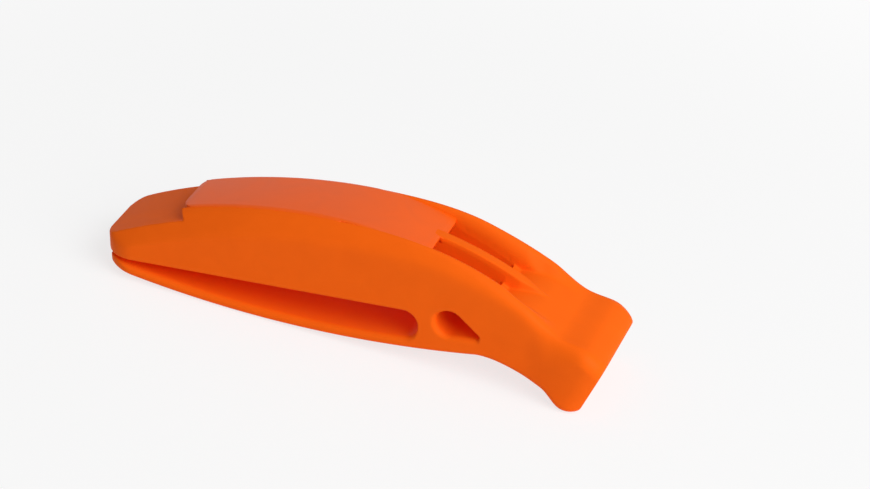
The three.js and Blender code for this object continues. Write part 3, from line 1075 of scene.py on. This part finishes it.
@dataclass
class SoundCover:
    """The plate that closes the sound chambers and ends in two tongues."""

    lines: Lines
    plan: Plan
    finish: MouldedPlastic
    moulding: Moulding
    thickness: float = 1.2
    lift: float = 0.03
    rear_inset: float = 0.03
    front_inset: float = 0.17
    step_near: float = 2.5
    step_far: float = 4.3
    tail_corner: float = 2.0
    tongue_corner: float = 1.8
    corner_steps: int = 10
    tongue_drop: float = 0.45
    dip_start: float = 3.0
    edge: float = 0.06
    edge_steps: int = 3
    strip: float = 0.5
    crease_steps: int = 5
    snap: float = 0.00001

    def outline(self) -> list[Vector]:
        """The plate's outline laid out flat: X along the top, Y across.

        Returns:
            The outline's points.
        """
        plan = self.plan
        tail = self.rear_inset - plan.cover_tail
        tail_side = plan.half_top(tail) - self.rear_inset - self.tail_corner
        tongue_inset = self.front_inset + self.tongue_corner

        def turn(x: float, y: float, radius: float, start: float, end: float) -> list[Vector]:
            """A corner's arc in the flat plate."""
            angles = spread(math.radians(start), math.radians(end), self.corner_steps)
            return [Vector((x + radius * math.cos(a), y + radius * math.sin(a), 0.0)) for a in angles]

        def side_step(along: float, side: Side) -> list[Vector]:
            """The small step in the plate's side where the rail begins beside it."""
            insets = (self.rear_inset, self.front_inset)
            return [Vector((along, side.value * (plan.half_top(along) - inset), 0.0)) for inset in insets]

        points = turn(tail + self.tail_corner, tail_side, self.tail_corner, 90.0, 180.0)
        points += turn(tail + self.tail_corner, -tail_side, self.tail_corner, 180.0, 270.0)
        points += side_step(self.step_near, Side.NEAR)
        near_side = plan.half_top(plan.labium_near) - tongue_inset
        points += turn(plan.labium_near - self.tongue_corner, -near_side, self.tongue_corner, -90.0, 0.0)
        points += [Vector((along, -plan.half_rib, 0.0)) for along in (plan.labium_near, plan.labium_far)]
        far_side = plan.half_top(plan.labium_far) - tongue_inset
        points += turn(plan.labium_far - self.tongue_corner, far_side, self.tongue_corner, 0.0, 90.0)
        return points + side_step(self.step_far, Side.FAR)[::-1]

    def bent(self, point: Vector) -> Vector:
        """Bends a point of the flat plate over the arched top, with the tongues drawn down.

        Args:
            point: The point of the flat plate, whose top lies at zero.

        Returns:
            The point over the arch.
        """
        plan = self.plan
        ramp = held((point.x - self.dip_start) / (plan.cover_front - self.dip_start))
        past = abs(point.y) - plan.half_top(point.x)
        slope = math.tan(self.moulding.shoulder_slope)
        sunk = self.tongue_drop * ramp**2 + self.moulding.rounding(past, plan.crease(point.x), slope)
        depth = -point.z - self.lift + sunk * held(1.0 + point.z / self.thickness)
        return self.lines.top(point.x, depth) + Vector((0.0, point.y, 0.0))

    def cut(self, bm: bmesh.types.BMesh) -> None:
        """Cuts the flat plate into fine strips across, and along its sides where they round over.

        Args:
            bm: The flat plate.
        """
        plan = self.plan
        planes = [((x, 0.0, 0.0), (1.0, 0.0, 0.0))
                  for x in steps(-plan.cover_tail, plan.cover_front, self.strip)[1:-1]]
        lean = plan.half_top(0.0) - plan.half_top(-1.0)
        for inset in spread(0.0, plan.cover_crease, self.crease_steps)[1:]:
            for side in Side:
                across = side.value * (plan.half_top(0.0) - inset)
                planes.append(((0.0, across, 0.0), (-lean, side.value, 0.0)))
        for place, normal in planes:
            bmesh.ops.bisect_plane(bm, geom=[*bm.verts, *bm.edges, *bm.faces], dist=self.snap,
                                   plane_co=place, plane_no=normal)

    def build(self, stand: Stand) -> bpy.types.Object:
        """Cuts the flat plate, rounds its top edges, and bends it over the arch.

        Args:
            stand: How the whistle stands.

        Returns:
            The plate.
        """
        bm = bmesh.new()
        top = bm.faces.new([bm.verts.new(point) for point in self.outline()])
        made = bmesh.ops.extrude_face_region(bm, geom=[top])["geom"]
        low = [item for item in made if isinstance(item, bmesh.types.BMVert)]
        bmesh.ops.translate(bm, verts=low, vec=(0.0, 0.0, -self.thickness))
        bmesh.ops.recalc_face_normals(bm, faces=bm.faces[:])
        rim = [edge for edge in bm.edges if all(vert.co.z > -self.edge for vert in edge.verts)]
        bmesh.ops.bevel(bm, geom=rim, offset=self.edge, offset_type="OFFSET", affect="EDGES",
                        segments=self.edge_steps, profile=0.5, material=-1)
        self.cut(bm)
        for vert in bm.verts:
            vert.co = self.bent(vert.co)
        return stand.place("sound_cover_plate", bm)

    def dress(self, plate: bpy.types.Object) -> None:
        """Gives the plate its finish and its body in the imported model.

        Args:
            plate: The plate.
        """
        plate.data.materials.append(self.finish.material())
        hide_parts("sound_cover")
        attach(plate, "whistle")


@dataclass(frozen=True)
class Lamp:
    """A soft lamp that is turned to the whistle."""

    name: str
    place: Vector
    width: float
    height: float
    power: float

    def build(self) -> None:
        """Sets the lamp up in its place."""
        data = bpy.data.lights.new(self.name, "AREA")
        data.shape = "ELLIPSE"
        data.size = self.width
        data.size_y = self.height
        data.energy = self.power
        facing = (-self.place).to_track_quat("-Z", "Y")
        light = linked(self.name, data)
        light.matrix_world = Matrix.Translation(self.place) @ facing.to_matrix().to_4x4()


@dataclass
class Studio:
    """The pale floor, the white surround, the soft lamp and the camera.

    The camera's eye is in millimetres of the whistle's own frame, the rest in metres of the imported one.
    """

    eye: Vector = field(default_factory=lambda: Vector((127.851, -320.279, 198.793)))
    turn: float = math.radians(19.6206)
    dip: float = math.radians(29.5023)
    lens: float = 124.14
    sensor: float = 36.0
    near_clip: float = 0.01
    floor_half: float = 1.5
    floor_cells: int = 8
    floor_colour: float = 0.9
    floor_white: float = 0.75
    fade_start: float = 0.06
    fade_end: float = 0.2
    sky: float = 0.28
    bounces: int = 12
    key: Lamp = field(default_factory=lambda: Lamp(
        "key_light", Vector((0.60, -0.27, 0.56)), width=0.8, height=0.8, power=7.4,
    ))

    def camera(self, stand: Stand) -> None:
        """Sets up the scene's camera at the viewing angle.

        Args:
            stand: How the whistle stands.
        """
        right = Vector((math.cos(self.turn), math.sin(self.turn), 0.0))
        level = Vector((-math.sin(self.turn), math.cos(self.turn), 0.0))
        up = math.sin(self.dip) * level + Vector((0.0, 0.0, math.cos(self.dip)))
        back = right.cross(up)
        axes = Matrix((right, up, back)).transposed()
        turn = Matrix.Rotation(-stand.tilt, 3, "Y")
        data = bpy.data.cameras.new("camera")
        data.lens = self.lens
        data.sensor_width = self.sensor
        data.clip_start = self.near_clip
        camera = linked("camera", data)
        camera.matrix_world = Matrix.Translation(stand.matrix @ self.eye) @ (turn @ axes).to_4x4()
        bpy.context.scene.camera = camera

    def floor(self) -> None:
        """Lays the pale floor, which runs out into the white of the background."""
        cells = self.floor_cells
        bm = bmesh.new()
        bmesh.ops.create_grid(bm, x_segments=cells, y_segments=cells, size=self.floor_half)
        floor = as_object("floor", bm)
        material = bpy.data.materials.new("floor")
        material.use_nodes = True
        tree = material.node_tree
        tree.nodes.clear()
        place = add_node(tree, "TexCoord")
        reach = add_node(tree, "VectorMath", operation="LENGTH")
        fade = add_node(tree, "MapRange", {
            "From Min": self.fade_start, "From Max": self.fade_end, "To Min": self.floor_white,
        }, interpolation_type="SMOOTHSTEP")
        share = add_node(tree, "Math", operation="MULTIPLY")
        matt = add_node(tree, "BsdfDiffuse", {"Color": (*(self.floor_colour,) * 3, 1.0)})
        white = add_node(tree, "Emission")
        blend = add_node(tree, "MixShader")
        out = add_node(tree, "OutputMaterial")
        wire(
            tree,
            (place, "Object", reach, 0),
            (reach, "Value", fade, "Value"),
            (fade, "Result", share, 0),
            (seen(tree), "Value", share, 1),
            (share, "Value", blend, "Fac"),
            (matt, "BSDF", blend, 1),
            (white, "Emission", blend, 2),
            (blend, "Shader", out, "Surface"),
        )
        floor.data.materials.append(material)

    def world(self) -> None:
        """Sets up a soft white surround, which is seen as plain white."""
        world = bpy.data.worlds.new("studio")
        world.use_nodes = True
        tree = world.node_tree
        glow = tree.nodes["Background"]
        glow.inputs["Color"].default_value = WHITE
        glow.inputs["Strength"].default_value = self.sky
        white = add_node(tree, "Background", {"Color": WHITE})
        blend = add_node(tree, "MixShader")
        wire(
            tree,
            (seen(tree), "Value", blend, "Fac"),
            (glow, "Background", blend, 1),
            (white, "Background", blend, 2),
            (blend, "Shader", tree.nodes["World Output"], "Surface"),
        )
        bpy.context.scene.world = world

    def build(self, stand: Stand) -> None:
        """Sets up camera, floor, surround and lamp, with enough bounces to redden the deep hollows.

        Args:
            stand: How the whistle stands.
        """
        self.camera(stand)
        self.floor()
        self.world()
        self.key.build()
        bpy.context.scene.cycles.diffuse_bounces = self.bounces
        bpy.context.scene.view_settings.view_transform = "Standard"


def main() -> None:
    """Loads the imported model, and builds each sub-assembly around it."""
    logging.basicConfig(level=logging.INFO, format="%(name)s: %(message)s")
    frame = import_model()
    lines = Lines()
    plan = Plan(lines)
    orange = MouldedPlastic("orange_moulding", (0.98, 0.134, 0.006))
    dull_orange = MouldedPlastic("orange_cover", (0.95, 0.117, 0.003), roughness=0.40, specular=0.2)
    moulding = Moulding(lines, plan, orange)
    joint = next(joint for joint in frame["joints"] if joint["name"] == "clip_flex")
    stand = Stand.from_frame(lines, moulding.lip_foot(), moulding.root, joint)
    Studio().build(stand)

    body, leaf = moulding.build(stand)
    moulding.dress(body, leaf, stand)
    cover = SoundCover(lines, plan, dull_orange, moulding)
    plate = cover.build(stand)
    cover.dress(plate)
    for piece in (body, leaf, plate):
        log.info("%s: %d faces", piece.name, len(piece.data.polygons))


if __name__ == "__main__":
    main()
